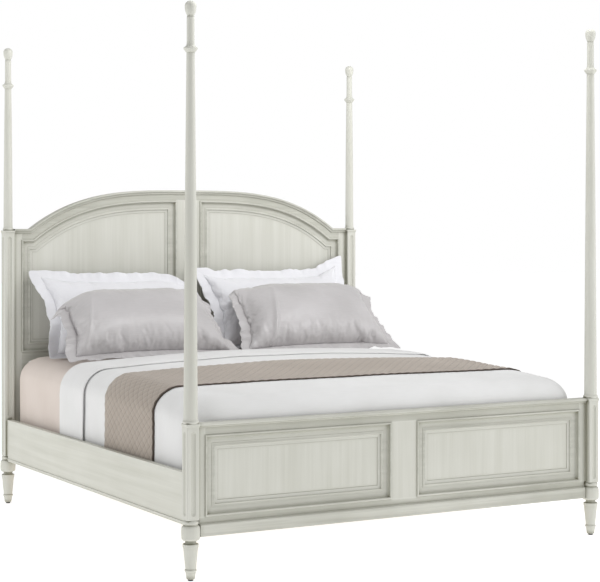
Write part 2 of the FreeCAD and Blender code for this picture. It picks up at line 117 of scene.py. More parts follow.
# what lights the bed is dimmer than the white that the camera sees behind it
world = emptyNodes(bpy.data.worlds.new("softWhiteRoom"))
bpy.context.scene.world = world
dimmed = addNode(world, "ShaderNodeBackground", {"Color": (1, 1, 1, 1), "Strength": studio["worldStrength"]})
bright = addNode(world, "ShaderNodeBackground", {"Color": (1, 1, 1, 1), "Strength": 1.0})
rays = addNode(world, "ShaderNodeLightPath")
room = addNode(world, "ShaderNodeMixShader", links={0: (rays, "Is Camera Ray"), 1: (dimmed, "Background"),
                                                    2: (bright, "Background")})
addNode(world, "ShaderNodeOutputWorld", links={"Surface": (room, "Shader")})

for place, aim, width, height, power in studio["softboxes"]:
    bpy.ops.object.light_add(type="AREA", location=place)
    softbox = bpy.context.object
    softbox.data.shape = "RECTANGLE"
    softbox.data.size = width
    softbox.data.size_y = height
    softbox.data.energy = power
    direction = Vector(aim) - Vector(place)
    softbox.rotation_euler = direction.to_track_quat("-Z", "Y").to_euler()

# painted studio floor: a matt white sweep with very faint unevenness
floorPaint = emptyNodes(bpy.data.materials.new("mattWhiteStudioFloor"))
uneven = addNode(floorPaint, "ShaderNodeTexNoise", {"Scale": 1.2, "Detail": 4.0})
whites = addNode(floorPaint, "ShaderNodeValToRGB", links={"Fac": (uneven, "Fac")},
                 stops=[(0.3, "e6e6e5"), (0.7, "ebebea")])
matt = addNode(floorPaint, "ShaderNodeBsdfPrincipled",
               {"Roughness": 0.9, "Emission Strength": studio["floorGlow"], "Emission Color": (1, 1, 1, 1)},
               {"Base Color": (whites, "Color")})
addNode(floorPaint, "ShaderNodeOutputMaterial", links={"Surface": (matt, "BSDF")})
bpy.ops.mesh.primitive_plane_add(size=60, location=(0, 0, 0))
floor = bpy.context.object
floor.name = "studioFloor"
floor.data.materials.append(floorPaint)
print("camera, lights and floor made")


# ---------- finishes of the wood, metal and plastic ----------

paintedWood = {
    "paint": {                       # off-white paint over the grain: where it lies thin and thick
        "X": ("ababa0", "d1d1c8"),   # rails and mouldings painted darker: partly heavier glaze, partly painted shade
        "Y": ("c8c8bd", "d8d8cf"),
        "Z": ("cacac0", "d7d7cf"),   # panels and posts the least
    },
    "glazeAndShade": "7f7e68",               # grey-brown glaze left in corners and grooves, deepened there as painted shade
    "worn": "dfdfd8",                # edges rubbed lighter
    "streakMm": 15,                  # wide brushed streaks
    "grainMm": 2.6,                  # real wire-brushed grain is about 1 mm; drawn coarser so it shows
    "lengthMm": 420,                 # how far a streak runs along the board
    "paintStops": (0.34, 0.64),      # where the pattern turns from thin paint to thick
    "shares": {"streaks": 0.50, "grain": 0.22, "blotches": 0.28},
    "grooveMm": 26,                  # how far from a corner the glaze and painted shade still show
    "grooveOpen": (0.50, 0.95),      # how open to the room: most glaze and painted shade, none
    "glazeAndShadeMost": 0.95,
    "glazeAndShadeGain": 2.0,
    "edgeMm": 6,
    "edgeOpen": (0.5, 0.9),          # how sharp an edge is: rubbed, not rubbed
    "rubbedMost": 0.5,
    "roughness": (0.42, 0.62),
    "bumpMm": 0.8,
}


def stretchedScale(axis, acrossMm, alongMm):
    # a mapping scale that draws a pattern out along one axis
    return tuple(1000.0 / (alongMm if i == "XYZ".index(axis) else acrossMm) for i in range(3))


def makePaintedWood(axis):
    # Brushed and glazed paint on hardwood. It was sprayed off-white, wire-brushed along the grain,
    # and a thin glaze was wiped off into soft streaks; corners and grooves are darker with glaze and painted
    # shade.
    s = paintedWood
    share = s["shares"]
    m = emptyNodes(bpy.data.materials.new("brushedGlazedPaintWithPaintedShade" + axis))
    place = addNode(m, "ShaderNodeTexCoord")
    wide = addNode(m, "ShaderNodeMapping",
                   {"Scale": stretchedScale(axis, s["streakMm"] * 2, s["lengthMm"] * 2)},
                   {"Vector": (place, "Object")})
    fine = addNode(m, "ShaderNodeMapping", {"Scale": stretchedScale(axis, s["grainMm"] * 2, s["lengthMm"])},
                   {"Vector": (place, "Object")})
    streaks = addNode(m, "ShaderNodeTexNoise", {"Scale": 1.0, "Detail": 3.0, "Roughness": 0.6},
                      {"Vector": (wide, "Vector")})
    grain = addNode(m, "ShaderNodeTexNoise", {"Scale": 1.0, "Detail": 4.0, "Roughness": 0.65},
                    {"Vector": (fine, "Vector")})
    blotches = addNode(m, "ShaderNodeTexNoise", {"Scale": 3.5, "Detail": 2.0},
                       {"Vector": (place, "Object")})
    together = addNode(m, "ShaderNodeMath", {1: share["streaks"]}, {0: (streaks, "Fac")},
                       operation="MULTIPLY")
    together = addNode(m, "ShaderNodeMath", {1: share["grain"]}, {0: (grain, "Fac"), 2: (together, "Value")},
                       operation="MULTIPLY_ADD")
    together = addNode(m, "ShaderNodeMath", {1: share["blotches"]},
                       {0: (blotches, "Fac"), 2: (together, "Value")}, operation="MULTIPLY_ADD")
    paint = addNode(m, "ShaderNodeValToRGB", links={"Fac": (together, "Value")},
                    stops=list(zip(s["paintStops"], s["paint"][axis])))
    # painted shade: occlusion darkens corners and grooves towards the glaze colour, beyond the real glaze
    # left there
    corners = addNode(m, "ShaderNodeAmbientOcclusion", {"Distance": s["grooveMm"] / 1000}, samples=6)
    inGroove = addNode(m, "ShaderNodeMapRange",
                       {"From Min": s["grooveOpen"][0], "From Max": s["grooveOpen"][1],
                        "To Min": s["glazeAndShadeMost"], "To Max": 0.0}, {"Value": (corners, "AO")})
    glazeAndShadeAmount = addNode(m, "ShaderNodeMath", {1: s["glazeAndShadeGain"]}, {0: (inGroove, "Result")},
                      operation="MULTIPLY")
    glazeAndShadeAmount = addNode(m, "ShaderNodeMath", links={0: (glazeAndShadeAmount, "Value"), 1: (streaks, "Fac")},
                      operation="MULTIPLY", use_clamp=True)
    glazedAndShaded = addNode(m, "ShaderNodeMix", {"B": srgb(s["glazeAndShade"])},
                     {"Factor": (glazeAndShadeAmount, "Value"), "A": (paint, "Color")}, data_type="RGBA")
    edges = addNode(m, "ShaderNodeAmbientOcclusion", {"Distance": s["edgeMm"] / 1000}, samples=4,
                    inside=True)
    onEdge = addNode(m, "ShaderNodeMapRange",
                     {"From Min": s["edgeOpen"][0], "From Max": s["edgeOpen"][1],
                      "To Min": s["rubbedMost"], "To Max": 0.0}, {"Value": (edges, "AO")})
    rubbed = addNode(m, "ShaderNodeMix", {"B": srgb(s["worn"])},
                     {"Factor": (onEdge, "Result"), "A": (glazedAndShaded, "Result")}, data_type="RGBA")
    dull = addNode(m, "ShaderNodeMapRange", {"To Min": s["roughness"][0], "To Max": s["roughness"][1]},
                   {"Value": (grain, "Fac")})
    bump = addNode(m, "ShaderNodeBump", {"Strength": 0.35, "Distance": s["bumpMm"] / 1000},
                   {"Height": (together, "Value")})
    shader = addNode(m, "ShaderNodeBsdfPrincipled", {"IOR": 1.48, "Specular IOR Level": 0.4},
                     {"Base Color": (rubbed, "Result"), "Roughness": (dull, "Result"),
                      "Normal": (bump, "Normal")})
    addNode(m, "ShaderNodeOutputMaterial", links={"Surface": (shader, "BSDF")})
    return m


def makePlanedPine():
    # Planed softwood, unfinished: pale, with long darker growth rings and a dull surface.
    m = emptyNodes(bpy.data.materials.new("planedPine"))
    place = addNode(m, "ShaderNodeTexCoord")
    drawn = addNode(m, "ShaderNodeMapping", {"Scale": (3.0, 14.0, 45.0)}, {"Vector": (place, "Object")})
    rings = addNode(m, "ShaderNodeTexNoise", {"Scale": 1.0, "Detail": 5.0, "Distortion": 0.6},
                    {"Vector": (drawn, "Vector")})
    colour = addNode(m, "ShaderNodeValToRGB", links={"Fac": (rings, "Fac")},
                     stops=[(0.38, "b08a5a"), (0.52, "d9bd8e"), (0.7, "e4cda3")])
    bump = addNode(m, "ShaderNodeBump", {"Strength": 0.2, "Distance": 0.0005}, {"Height": (rings, "Fac")})
    shader = addNode(m, "ShaderNodeBsdfPrincipled", {"Roughness": 0.7, "IOR": 1.45},
                     {"Base Color": (colour, "Color"), "Normal": (bump, "Normal")})
    addNode(m, "ShaderNodeOutputMaterial", links={"Surface": (shader, "BSDF")})
    return m


def makeZincSteel():
    # Zinc plated pressed steel: dull, slightly blotchy, with fine rolling lines.
    m = emptyNodes(bpy.data.materials.new("zincPlatedSteel"))
    place = addNode(m, "ShaderNodeTexCoord")
    spots = addNode(m, "ShaderNodeTexNoise", {"Scale": 160.0, "Detail": 3.0}, {"Vector": (place, "Object")})
    colour = addNode(m, "ShaderNodeValToRGB", links={"Fac": (spots, "Fac")},
                     stops=[(0.3, "b9bab8"), (0.7, "d2d2cf")])
    dull = addNode(m, "ShaderNodeMapRange", {"To Min": 0.3, "To Max": 0.5}, {"Value": (spots, "Fac")})
    shader = addNode(m, "ShaderNodeBsdfPrincipled", {"Metallic": 1.0},
                     {"Base Color": (colour, "Color"), "Roughness": (dull, "Result")})
    addNode(m, "ShaderNodeOutputMaterial", links={"Surface": (shader, "BSDF")})
    return m


def makeBlackNylon():
    # Injection moulded nylon: near black, a fine matt texture from the mould.
    m = emptyNodes(bpy.data.materials.new("mouldedBlackNylon"))
    place = addNode(m, "ShaderNodeTexCoord")
    texture = addNode(m, "ShaderNodeTexNoise", {"Scale": 900.0, "Detail": 2.0}, {"Vector": (place, "Object")})
    colour = addNode(m, "ShaderNodeValToRGB", links={"Fac": (texture, "Fac")},
                     stops=[(0.3, "161616"), (0.7, "242423")])
    bump = addNode(m, "ShaderNodeBump", {"Strength": 0.3, "Distance": 0.0002}, {"Height": (texture, "Fac")})
    shader = addNode(m, "ShaderNodeBsdfPrincipled", {"Roughness": 0.55, "IOR": 1.53},
                     {"Base Color": (colour, "Color"), "Normal": (bump, "Normal")})
    addNode(m, "ShaderNodeOutputMaterial", links={"Surface": (shader, "BSDF")})
    return m


woodFinish = {axis: makePaintedWood(axis) for axis in "XYZ"}
pine = makePlanedPine()
steel = makeZincSteel()
nylon = makeBlackNylon()


def grainAxis(node):
    # which way the grain runs in a painted board
    if "side_rail" in node:
        return "Y"
    if any(word in node for word in ("top_rail", "bottom_rail", "_cap", "moulding")):
        return "X"
    return "Z"


slots = {part["node"]: part["material_slot"] for part in frame["record"]["subparts"]}
for node, piece in frame["nodes"].items():
    finish = {"painted_wood": woodFinish[grainAxis(node)], "slat_wood": pine, "steel": steel,
              "nylon": nylon}.get(slots[node])
    if finish:
        piece.data.materials.clear()
        piece.data.materials.append(finish)
print("wood, steel and nylon finished")


# ---------- fabrics ----------

def makeCloth(name, colours, threadMm, roughness, sheen, bumpMm, waveShare=1.0, slub=0.5, stitchMm=None):
    # woven cloth: over-and-under threads along the two directions of the piece's own cloth map,
    # slubs that run with them, and a slow change of shade
    m = emptyNodes(bpy.data.materials.new(name))
    cloth = addNode(m, "ShaderNodeAttribute", attribute_name="cloth")
    place = addNode(m, "ShaderNodeTexCoord")
    scaled = addNode(m, "ShaderNodeVectorMath", {"Scale": 1000.0 / threadMm}, {0: (cloth, "Vector")},
                     operation="SCALE")
    parts = addNode(m, "ShaderNodeSeparateXYZ", links={"Vector": (scaled, "Vector")})
    threads = []
    for way in ("X", "Y"):
        thread = addNode(m, "ShaderNodeMath", {1: math.pi}, {0: (parts, way)}, operation="MULTIPLY")
        threads.append(addNode(m, "ShaderNodeMath", links={0: (thread, "Value")}, operation="SINE"))
    weave = addNode(m, "ShaderNodeMath", links={0: (threads[0], "Value"), 1: (threads[1], "Value")},
                    operation="MULTIPLY")
    drawn = addNode(m, "ShaderNodeMapping", {"Scale": (14.0, 190.0, 1.0)}, {"Vector": (cloth, "Vector")})
    slubs = addNode(m, "ShaderNodeTexNoise", {"Scale": 1.0, "Detail": 3.0}, {"Vector": (drawn, "Vector")})
    shade = addNode(m, "ShaderNodeTexNoise", {"Scale": 5.0, "Detail": 3.0}, {"Vector": (place, "Object")})
    height = addNode(m, "ShaderNodeMath", {1: 0.5 * waveShare}, {0: (weave, "Value")},
                     operation="MULTIPLY")
    height = addNode(m, "ShaderNodeMath", {1: slub}, {0: (slubs, "Fac"), 2: (height, "Value")},
                     operation="MULTIPLY_ADD")
    mixed = addNode(m, "ShaderNodeMath", {1: 0.7}, {0: (shade, "Fac")}, operation="MULTIPLY")
    mixed = addNode(m, "ShaderNodeMath", {1: 0.3}, {0: (slubs, "Fac"), 2: (mixed, "Value")},
                    operation="MULTIPLY_ADD")
    colour = addNode(m, "ShaderNodeValToRGB", links={"Fac": (mixed, "Value")},
                     stops=[(0.25, colours[0]), (0.75, colours[1])])
    if stitchMm:
        # rows of stitching that cross, with painted shade darkening the colour in the dips where the needle
        # drew the cloth in
        lines = []
        for slant in (0.9, -0.9):
            repeat = math.pi * 1000 / stitchMm
            crossing = addNode(m, "ShaderNodeVectorMath", {1: (repeat, repeat * slant, 0)},
                               {0: (cloth, "Vector")}, operation="DOT_PRODUCT")
            line = addNode(m, "ShaderNodeMath", links={0: (crossing, "Value")}, operation="SINE")
            line = addNode(m, "ShaderNodeMath", links={0: (line, "Value")}, operation="ABSOLUTE")
            lines.append(addNode(m, "ShaderNodeMapRange", {"From Max": 0.28, "To Min": 0.72, "To Max": 1.0},
                                 {"Value": (line, "Value")}, interpolation_type="SMOOTHSTEP"))
        stitchDipShade = addNode(m, "ShaderNodeMath", links={0: (lines[0], "Result"), 1: (lines[1], "Result")},
                          operation="MULTIPLY")
        colour = addNode(m, "ShaderNodeVectorMath", links={0: (colour, "Color"), "Scale": (stitchDipShade, "Value")},
                         operation="SCALE")
    bump = addNode(m, "ShaderNodeBump", {"Strength": 0.5, "Distance": bumpMm / 1000},
                   {"Height": (height, "Value")})
    shader = addNode(m, "ShaderNodeBsdfPrincipled",
                     {"Roughness": roughness, "IOR": 1.5, "Sheen Weight": sheen, "Sheen Roughness": 0.4},
                     {"Base Color": (colour, 0), "Normal": (bump, "Normal")})
    addNode(m, "ShaderNodeOutputMaterial", links={"Surface": (shader, "BSDF")})
    return m


# Cotton coverlet, close woven and washed: matt white with a faint crosswise rib.
whiteCoverlet = makeCloth("washedWhiteCotton", ("e0e0df", "ebebeb"), 4.0, 0.85, 0.15, 0.5)
# Cotton percale fitted sheet, a light pinkish sand.
sandPercale = makeCloth("sandPercale", ("d5c9c0", "dfd4cc"), 2.5, 0.8, 0.1, 0.3)
# Pillow sham cotton, a touch cooler and crisper than the coverlet.
shamCotton = makeCloth("crispWhiteShamCotton", ("e4e4e8", "eeeef2"), 2.5, 0.75, 0.15, 0.3)
# Sateen: floats of thread lie one way, so it glows softly along the highlights.
greySateen = makeCloth("warmGreySateen", ("b8b5b5", "cbc8c9"), 1.6, 0.38, 0.35, 0.12, 0.4, 0.3)
# Quilted cotton throw, taupe, with painted shade along its stitched rows.
taupeQuilt = makeCloth("taupeQuiltedCotton", ("a69b90", "b3a89d"), 3.0, 0.88, 0.3, 0.5, stitchMm=44)
# Bias binding in dark brown twill.
darkBinding = makeCloth("darkBrownTwill", ("463c33", "57493f"), 2.0, 0.8, 0.2, 0.4)
# Knitted mattress ticking.
ticking = makeCloth("knittedTicking", ("dcdad5", "e6e4df"), 6.0, 0.85, 0.2, 1.2)
# Nonwoven dust cover and woven border of the foundation.
dustCover = makeCloth("spunDustCover", ("c4c2be", "cfcdc9"), 3.0, 0.95, 0.05, 0.3)
print("fabrics made")


# ---------- shared helpers for soft pieces ----------

def selectEdges(piece, test):
    # leaves the edges whose two ends pass the test selected, in edit mode
    bpy.ops.object.mode_set(mode="OBJECT")
    for vertex in piece.data.vertices:
        vertex.select = False
    for face in piece.data.polygons:
        face.select = False
    for edge in piece.data.edges:
        a, b = (piece.data.vertices[i].co for i in edge.vertices)
        edge.select = test(a, b)
    bpy.ops.object.mode_set(mode="EDIT")
    bpy.ops.mesh.select_mode(type="EDGE")


def makeActive(piece):
    # the only piece selected, for the next operator
    bpy.ops.object.select_all(action="DESELECT")
    piece.select_set(True)
    bpy.context.view_layer.objects.active = piece


def useModifier(piece, kind, **settings):
    # adds a modifier, sets it and applies it
    modifier = piece.modifiers.new(kind.lower(), kind)
    for name, value in settings.items():
        setattr(modifier, name, value)
    makeActive(piece)
    bpy.ops.object.modifier_apply(modifier=modifier.name)


def startBox(name, low, high):
    # a cube at its size and place, active, in object mode
    bpy.ops.object.select_all(action="DESELECT")
    bpy.ops.mesh.primitive_cube_add(size=1, location=(Vector(low) + Vector(high)) / 2)
    piece = bpy.context.object
    piece.name = name
    piece.scale = Vector(high) - Vector(low)
    bpy.ops.object.transform_apply(location=True, rotation=False, scale=True)
    return piece


roundForm = {"cornerSegments": 8, "edgeSegments": 7, "smoothings": 7}


def softForm(name, low, high, corner, edge, pitch):
    # a box with rounded upright corners and softer rounds top and bottom, as an even mesh
    piece = startBox(name, low, high)
    selectEdges(piece, lambda a, b: abs(a.z - b.z) > 0.01)
    bpy.ops.mesh.bevel(offset=corner, segments=roundForm["cornerSegments"], affect="EDGES")
    top, bottom = high[2], low[2]
    selectEdges(piece, lambda a, b: abs(a.z - b.z) < 1e-5
                and (abs(a.z - top) < 1e-5 or abs(a.z - bottom) < 1e-5))
    bpy.ops.mesh.bevel(offset=edge, segments=roundForm["edgeSegments"], affect="EDGES")
    bpy.ops.object.mode_set(mode="OBJECT")
    useModifier(piece, "REMESH", mode="VOXEL", voxel_size=pitch, use_smooth_shade=True)
    useModifier(piece, "SMOOTH", factor=0.5, iterations=roundForm["smoothings"])
    return piece


mattressLow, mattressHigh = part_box("mattress")
coverletLow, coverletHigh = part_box("coverlet")
bedRound = {
    "corner": 0.130,     # of the mattress, seen from above
    "edge": 0.110,       # at its top edge
    "core": 0.13,        # from its faces in to the core that all its rounds turn about
}
core = Vector((bedRound["core"],) * 3)
innerLow = mattressLow + core
innerHigh = mattressHigh - core


def outward(p):
    # the direction away from the mattress at a point near its surface
    nearest = Vector((min(max(p.x, innerLow.x), innerHigh.x), min(max(p.y, innerLow.y), innerHigh.y),
                      min(p.z, innerHigh.z)))
    away = p - nearest
    return away.normalized() if away.length > 1e-6 else Vector((0, 0, 1))


bedShape = {
    # centre height of everything on the bed above the plain mattress, from head to foot: (y, rise)
    "middle": [(1.0, 0.000), (0.75, 0.006), (0.40, 0.012), (0.10, 0.014), (-0.13, 0.004), (-0.65, -0.030),
               (-0.95, -0.046)],
    "edge": [(1.0, -0.006), (0.40, -0.016), (-0.13, -0.018), (-0.65, -0.036), (-0.95, -0.050)],
    "crownWidth": 0.86,   # from the middle out to where the crown has run out
    "swell": 0.0035,      # slow unevenness of everything on the mattress
    "tucked": 0.15,       # the share of it that is left down beside the rails
    "sideWave": 0.0040,   # upright waves in what hangs at the sides
    "square": 8,          # how square the head end's corners are, seen from above
    "railTop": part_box("side_rail_left")[1].z,
}


def between(table, at):
    # a value from a table of (place, value), places falling
    if at >= table[0][0]:
        return table[0][1]
    for (high, a), (low, b) in zip(table, table[1:]):
        if at >= low:
            share = (high - at) / (high - low)
            share = share * share * (3 - 2 * share)
            return a + (b - a) * share
    return table[-1][1]


def bedSwell(p, n):
    # how far everything lying on the mattress moves at p, where n points away from it
    s = bedShape
    across = min(abs(p.x) / s["crownWidth"], 1.0)
    share = (1 - across ** 2) ** 1.2 if across < 1 else 0.0
    rise = between(s["edge"], p.y) * (1 - share) + between(s["middle"], p.y) * share
    slow = s["swell"] * noise.noise(Vector((p.x * 2.6, p.y * 2.6, p.z * 2.6)))
    free = min(max((p.z - s["railTop"]) / 0.09, 0.0), 1.0)
    hang = min(max((0.70 - p.z) / 0.12, 0.0), 1.0)
    slow += s["sideWave"] * hang * noise.noise(Vector((p.x * 5.0, p.y * 5.0, p.z * 0.9 + 7.0)))
    upper = min(max((p.z - 0.50) / (mattressHigh.z - 0.50), 0.0), 1.0)
    # at the head end the stretched sheet pulls the corners squarer
    corner = Vector((max(abs(p.x) - innerHigh.x, 0.0), max(p.y - innerHigh.y, 0.0), 0.0))
    if corner.x > 0 and corner.y > 0:
        along = corner.normalized()
        corner *= (along.x ** s["square"] + along.y ** s["square"]) ** (-1 / s["square"]) - 1
        corner.x = math.copysign(corner.x, p.x)
    else:
        corner = Vector()
    loose = s["tucked"] + (1 - s["tucked"]) * free
    return n * slow * loose + corner + Vector((0, 0, rise * upper * upper * (3 - 2 * upper)))


def mapCloth(piece):
    # writes the cloth map: the place on the flat cloth, so that threads follow the surface
    cloth = piece.data.attributes.new("cloth", "FLOAT_VECTOR", "POINT")
    values = []
    for vertex in piece.data.vertices:
        p = vertex.co
        drop = max(mattressHigh.z - p.z, 0.0)
        away = outward(p)
        values += [p.x + drop * away.x, p.y + drop * away.y, 0.0]
    cloth.data.foreach_set("vector", values)


def finishPiece(piece, body, material):
    # smooth shading, finish, slot and the body it moves with
    makeActive(piece)
    bpy.ops.object.shade_smooth()
    if material:
        piece.data.materials.clear()
        piece.data.materials.append(material)
    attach(piece, body)


# ---------- mattress and foundation ----------

mattressLook = {
    "pitch": 0.014,
    "under": 0.007,          # how far it stays inside its covers
    "tuft": 0.24,
    "tuftDepth": 0.004,
    "topBand": 0.06,
    "panelBand": 0.07,       # the border's top and bottom seams, from the faces
    "panelDepth": 0.004,
}
mattress = softForm("mattressBody", mattressLow, mattressHigh, bedRound["corner"], bedRound["edge"],
                    mattressLook["pitch"])
for vertex in mattress.data.vertices:
    p = vertex.co
    p += bedSwell(p, outward(p)) - outward(p) * mattressLook["under"]
    if p.z > mattressHigh.z - mattressLook["topBand"]:
        d = mattressLook["tuft"]
        dx = abs((p.x / d) % 1 - 0.5)
        dy = abs((p.y / d) % 1 - 0.5)
        p.z -= mattressLook["tuftDepth"] * math.exp(-((0.5 - dx) ** 2 + (0.5 - dy) ** 2) * 60)
    elif mattressLow.z + mattressLook["panelBand"] < p.z < mattressHigh.z - mattressLook["panelBand"]:
        channel = math.cos((p.z - mattressLow.z - 0.15) / 0.08 * math.pi) ** 2
        p += outward(p) * -mattressLook["panelDepth"] * channel
mapCloth(mattress)
finishPiece(mattress, "bed", ticking)
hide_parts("mattress")

foundationLow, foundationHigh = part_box("foundation")
foundationLook = {"edge": 0.010, "pitch": 0.014, "dustSag": 0.0025, "dustWave": 0.0015, "hollow": 0.002}
foundation = softForm("foundationBody", foundationLow, foundationHigh, bedRound["corner"],
                      foundationLook["edge"], foundationLook["pitch"])
for vertex in foundation.data.vertices:
    p = vertex.co
    if p.z < foundationLow.z + 0.004 and abs(p.x) < 0.86 and abs(p.y) < 0.92:
        # the dust cover is drawn up between its staples
        p.z += foundationLook["dustSag"] + foundationLook["dustWave"] * noise.noise(p * 6)
    elif foundationLow.z + 0.02 < p.z < foundationHigh.z - 0.02:
        p -= outward(p) * foundationLook["hollow"] * math.sin((p.z - foundationLow.z) / 0.15 * math.pi)
mapCloth(foundation)
finishPiece(foundation, "bed", dustCover)
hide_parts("foundation")
print("mattress and foundation made")


# ---------- sheets on the bed ----------

def cutAway(piece, place, normal):
    # cuts the mesh with a plane and drops what lies on the normal's side
    makeActive(piece)
    bpy.ops.object.mode_set(mode="EDIT")
    bpy.ops.mesh.select_all(action="SELECT")
    bpy.ops.mesh.bisect(plane_co=place, plane_no=normal, clear_outer=True)
    bpy.ops.object.mode_set(mode="OBJECT")


def clothShell(name, lift, y0, y1, low, pitch):
    # the outer skin of a cloth that lies lift off the mattress, from y0 to y1, hanging to low
    base = mattressLow - Vector((lift, lift, 0.25))
    top = mattressHigh + Vector((lift, lift, lift))
    shell = softForm(name, base, top, bedRound["corner"] + lift, bedRound["edge"] + lift, pitch)
    cutAway(shell, (0, 0, low), (0, 0, -1))
    if y0 is not None:
        cutAway(shell, (0, y0, 0), (0, -1, 0))
    if y1 is not None:
        cutAway(shell, (0, y1, 0), (0, 1, 0))
    return shell


hemLevel = coverletLow.z
sheetLook = {
    "lift": 0.0026,
    "pitch": 0.013,
    "thickness": 0.0022,
    "creasedFrom": coverletHigh.y - 0.04,    # just under the coverlet's turned edge
    "creases": 0.0030,
}


def wrinkleSheet(p):
    # creases of the fitted sheet where it shows at the head of the bed
    s = sheetLook
    if p.y < s["creasedFrom"]:
        return 0.0
    fade = min((p.y - s["creasedFrom"]) / 0.1, 1.0)
    side = abs(outward(p).x)
    pleats = noise.noise(Vector((p.x * 2, p.y * 17, p.z * 2.2 + 3)))
    hem = min(max((0.60 - p.z) / 0.15, 0.0), 1.0)
    return fade * side * s["creases"] * pleats * (0.35 + 0.65 * hem)


sheet = clothShell("fittedSheet", sheetLook["lift"], None, None, hemLevel, sheetLook["pitch"])
for vertex in sheet.data.vertices:
    p = vertex.co.copy()
    vertex.co += bedSwell(p, outward(p)) + outward(p) * wrinkleSheet(p)
mapCloth(sheet)
useModifier(sheet, "SOLIDIFY", thickness=sheetLook["thickness"], offset=-1.0)
finishPiece(sheet, "bed", sandPercale)
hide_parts("fitted_sheet")
print("fitted sheet made")

coverletLook = {
    "lift": 0.0105,
    "foldLift": 0.0170,
    "foldEdge": coverletHigh.y - 0.008,     # the turned-back edge near the pillows
    "hem": coverletHigh.y - 0.290,          # where the turned part ends
    "pitch": 0.0125,
    "thickness": 0.0045,
    "creases": 0.0012,
}


def creaseCoverlet(p):
    # soft creases, finer than the shared swell
    s = coverletLook
    fine = noise.noise(Vector((p.x * 9, p.y * 14, p.z * 9)))
    return s["creases"] * fine


cover = clothShell("coverletBody", coverletLook["lift"], None, coverletLook["foldEdge"], hemLevel,
                   coverletLook["pitch"])
fold = clothShell("coverletFold", coverletLook["foldLift"], coverletLook["hem"], coverletLook["foldEdge"],
                  hemLevel, coverletLook["pitch"])
for vertex in fold.data.vertices:
    # the hem lies close on top of the bed, and a little open and wavy where it hangs
    p = vertex.co
    nearHem = max(0.0, 1 - (p.y - coverletLook["hem"]) / 0.05)
    side = abs(outward(p).x)
    p += outward(p) * (0.0025 * nearHem * side - 0.0050 * nearHem ** 2 * (1 - side))
    p.y += 0.006 * nearHem * noise.noise(Vector((p.x * 3, 0, p.z * 3)))
makeActive(cover)
fold.select_set(True)
bpy.ops.object.join()
edgeY = coverletLook["foldEdge"]
selectEdges(cover, lambda a, b: abs(a.y - edgeY) < 1e-4 and abs(b.y - edgeY) < 1e-4)
bpy.ops.mesh.bridge_edge_loops(type="SINGLE", number_cuts=3, interpolation="SURFACE", smoothness=1.0)
bpy.ops.mesh.select_all(action="SELECT")
bpy.ops.mesh.normals_make_consistent(inside=False)
bpy.ops.object.mode_set(mode="OBJECT")
for vertex in cover.data.vertices:
    p = vertex.co.copy()
    vertex.co += bedSwell(p, outward(p)) + outward(p) * creaseCoverlet(p)
mapCloth(cover)
useModifier(cover, "SOLIDIFY", thickness=coverletLook["thickness"], offset=-1.0)
finishPiece(cover, "bed", whiteCoverlet)
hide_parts("coverlet")
print("coverlet made")

throwLook = {
    "lift": 0.0150,
    "head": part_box("throw_blanket")[1].y,
    "foot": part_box("throw_blanket")[0].y,
    "pitch": 0.006,
    "edgeRound": 0.125,
    "stitch": 0.044,        # from one stitched line to the next, along the bed's width
    "puff": 0.0040,
    "binding": 0.014,
    "thickness": 0.0042,
}


def throwPoint(across, along):
    # a place on the throw: across is measured over the bed, along is down the bed
    s = throwLook
    halfWidth = mattressHigh.x + s["lift"]
    top = mattressHigh.z + s["lift"]
    r = s["edgeRound"]
    flat = halfWidth - r
    quarter = r * math.pi / 2
    side = math.copysign(1, across)
    d = abs(across)
    if d < flat:
        p, n = Vector((across, along, top)), Vector((0, 0, 1))
    elif d < flat + quarter:
        turn = (d - flat) / r
        p = Vector((side * (flat + r * math.sin(turn)), along, top - r + r * math.cos(turn)))
        n = Vector((side * math.sin(turn), 0, math.cos(turn)))
    else:
        p = Vector((side * halfWidth, along, top - r - (d - flat - quarter)))
        n = Vector((side, 0, 0))
    return p, n


def quiltHeight(across, along):
    # puffed diamonds between stitched lines that cross
    d = throwLook["stitch"]
    one = abs(math.sin(math.pi * (across + along * 0.9) / d))
    other = abs(math.sin(math.pi * (across - along * 0.9) / d))
    return (one * other) ** 0.45


def makeThrow():
    s = throwLook
    halfWidth = mattressHigh.x + s["lift"]
    flat = halfWidth - s["edgeRound"]
    reach = flat + s["edgeRound"] * math.pi / 2 + (mattressHigh.z + s["lift"] - s["edgeRound"] - hemLevel)
    length = s["head"] - s["foot"]
    bpy.ops.object.select_all(action="DESELECT")
    bpy.ops.mesh.primitive_grid_add(x_subdivisions=round(2 * reach / s["pitch"]),
                                    y_subdivisions=round(length / s["pitch"]), size=1)
    piece = bpy.context.object
    piece.name = "quiltedThrow"
    cloth = piece.data.attributes.new("cloth", "FLOAT_VECTOR", "POINT")
    middle = (s["head"] + s["foot"]) / 2
    for vertex, spot in zip(piece.data.vertices, cloth.data):
        across = vertex.co.x * 2 * reach
        along = middle + vertex.co.y * length
        spot.vector = (across, along, 0)
        wave = 0.006 * noise.noise(Vector((across * 1.6, 4.0, 0)))
        p, n = throwPoint(across, along + wave)
        edge = min(along - s["foot"], s["head"] - along)
        soft = min(edge / 0.02, 1.0)
        puff = s["puff"] * quiltHeight(across, along) * soft
        rim = 0.0015 * (1 - soft) * (1 + 0.6 * math.sin(across / 0.0075))
        vertex.co = p + bedSwell(p, outward(p)) + n * (puff + rim)
    return piece


throw = makeThrow()
throw.data.materials.append(taupeQuilt)
throw.data.materials.append(darkBinding)
for face in throw.data.polygons:
    if face.center.y < throwLook["foot"] + throwLook["binding"]:
        face.material_index = 1
useModifier(throw, "SOLIDIFY", thickness=throwLook["thickness"], offset=-1.0)
finishPiece(throw, "bed", None)
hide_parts("throw_blanket")
print("throw made")


# ---------- pillows ----------

